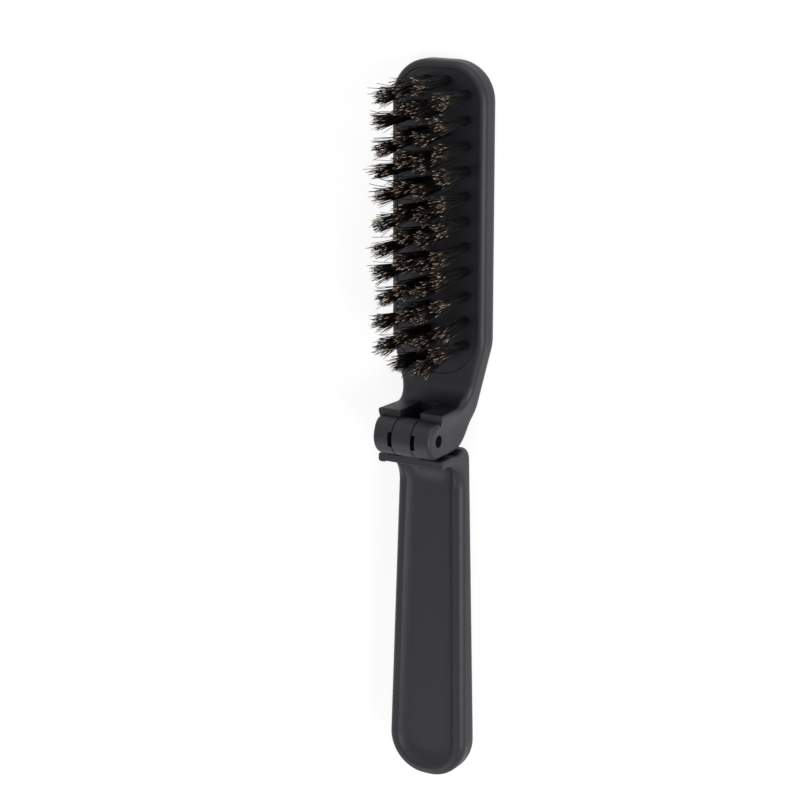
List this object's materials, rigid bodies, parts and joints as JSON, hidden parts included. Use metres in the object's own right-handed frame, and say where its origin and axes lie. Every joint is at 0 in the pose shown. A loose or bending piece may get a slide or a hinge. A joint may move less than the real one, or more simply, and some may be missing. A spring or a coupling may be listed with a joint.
{
  "type": "folding pocket brush",
  "caption": "Slim folding pocket brush with a straight tufted head on a pinned hinge; the head swings over so its bristles close into the dished handle.",
  "frame": {"origin": "under the middle of the opened brush, on the plane of the head's flat back, which it lies on", "axes": "+Y from the handle's free end to the head's tip, +Z towards the bristle tips, +X along the hinge pin"},
  "size_m": [0.028, 0.1958, 0.0275],
  "materials": {
    "shell_plastic": "satin moulded",
    "plate_plastic": "satin moulded",
    "pin_steel": "drawn wire, darkened",
    "anchor_brass": "stamped strip",
    "bristle": "natural bristle, black with brown and blond tips"
  },
  "bodies": {
    "handle": {"handle_tray": "shell_plastic", "handle_cover": "shell_plastic"},
    "head": {"head_shell": "shell_plastic", "bristle_plate": "plate_plastic", "hinge_pin": "pin_steel", "tuft_anchors": "anchor_brass", "tuft_left_inner_01": "bristle", "tuft_left_inner_02": "bristle", "tuft_left_inner_03": "bristle", "tuft_left_inner_04": "bristle", "tuft_left_inner_05": "bristle", "tuft_left_inner_06": "bristle", "tuft_left_inner_07": "bristle", "tuft_left_inner_08": "bristle", "tuft_left_inner_09": "bristle", "tuft_left_inner_10": "bristle", "tuft_left_inner_11": "bristle", "tuft_left_inner_12": "bristle", "tuft_left_outer_01": "bristle", "tuft_left_outer_02": "bristle", "tuft_left_outer_03": "bristle", "tuft_left_outer_04": "bristle", "tuft_left_outer_05": "bristle", "tuft_left_outer_06": "bristle", "tuft_left_outer_07": "bristle", "tuft_left_outer_08": "bristle", "tuft_left_outer_09": "bristle", "tuft_left_outer_10": "bristle", "tuft_left_outer_11": "bristle", "tuft_right_inner_01": "bristle", "tuft_right_inner_02": "bristle", "tuft_right_inner_03": "bristle", "tuft_right_inner_04": "bristle", "tuft_right_inner_05": "bristle", "tuft_right_inner_06": "bristle", "tuft_right_inner_07": "bristle", "tuft_right_inner_08": "bristle", "tuft_right_inner_09": "bristle", "tuft_right_inner_10": "bristle", "tuft_right_inner_11": "bristle", "tuft_right_inner_12": "bristle", "tuft_right_outer_01": "bristle", "tuft_right_outer_02": "bristle", "tuft_right_outer_03": "bristle", "tuft_right_outer_04": "bristle", "tuft_right_outer_05": "bristle", "tuft_right_outer_06": "bristle", "tuft_right_outer_07": "bristle", "tuft_right_outer_08": "bristle", "tuft_right_outer_09": "bristle", "tuft_right_outer_10": "bristle", "tuft_right_outer_11": "bristle"}
  },
  "joints": [
    {"name": "fold", "type": "hinge", "parent": "handle", "child": "head", "pos_m": [0, 0.0008, 0.0224], "axis": [1, 0, 0], "range_deg": [0, 180]}
  ]
}
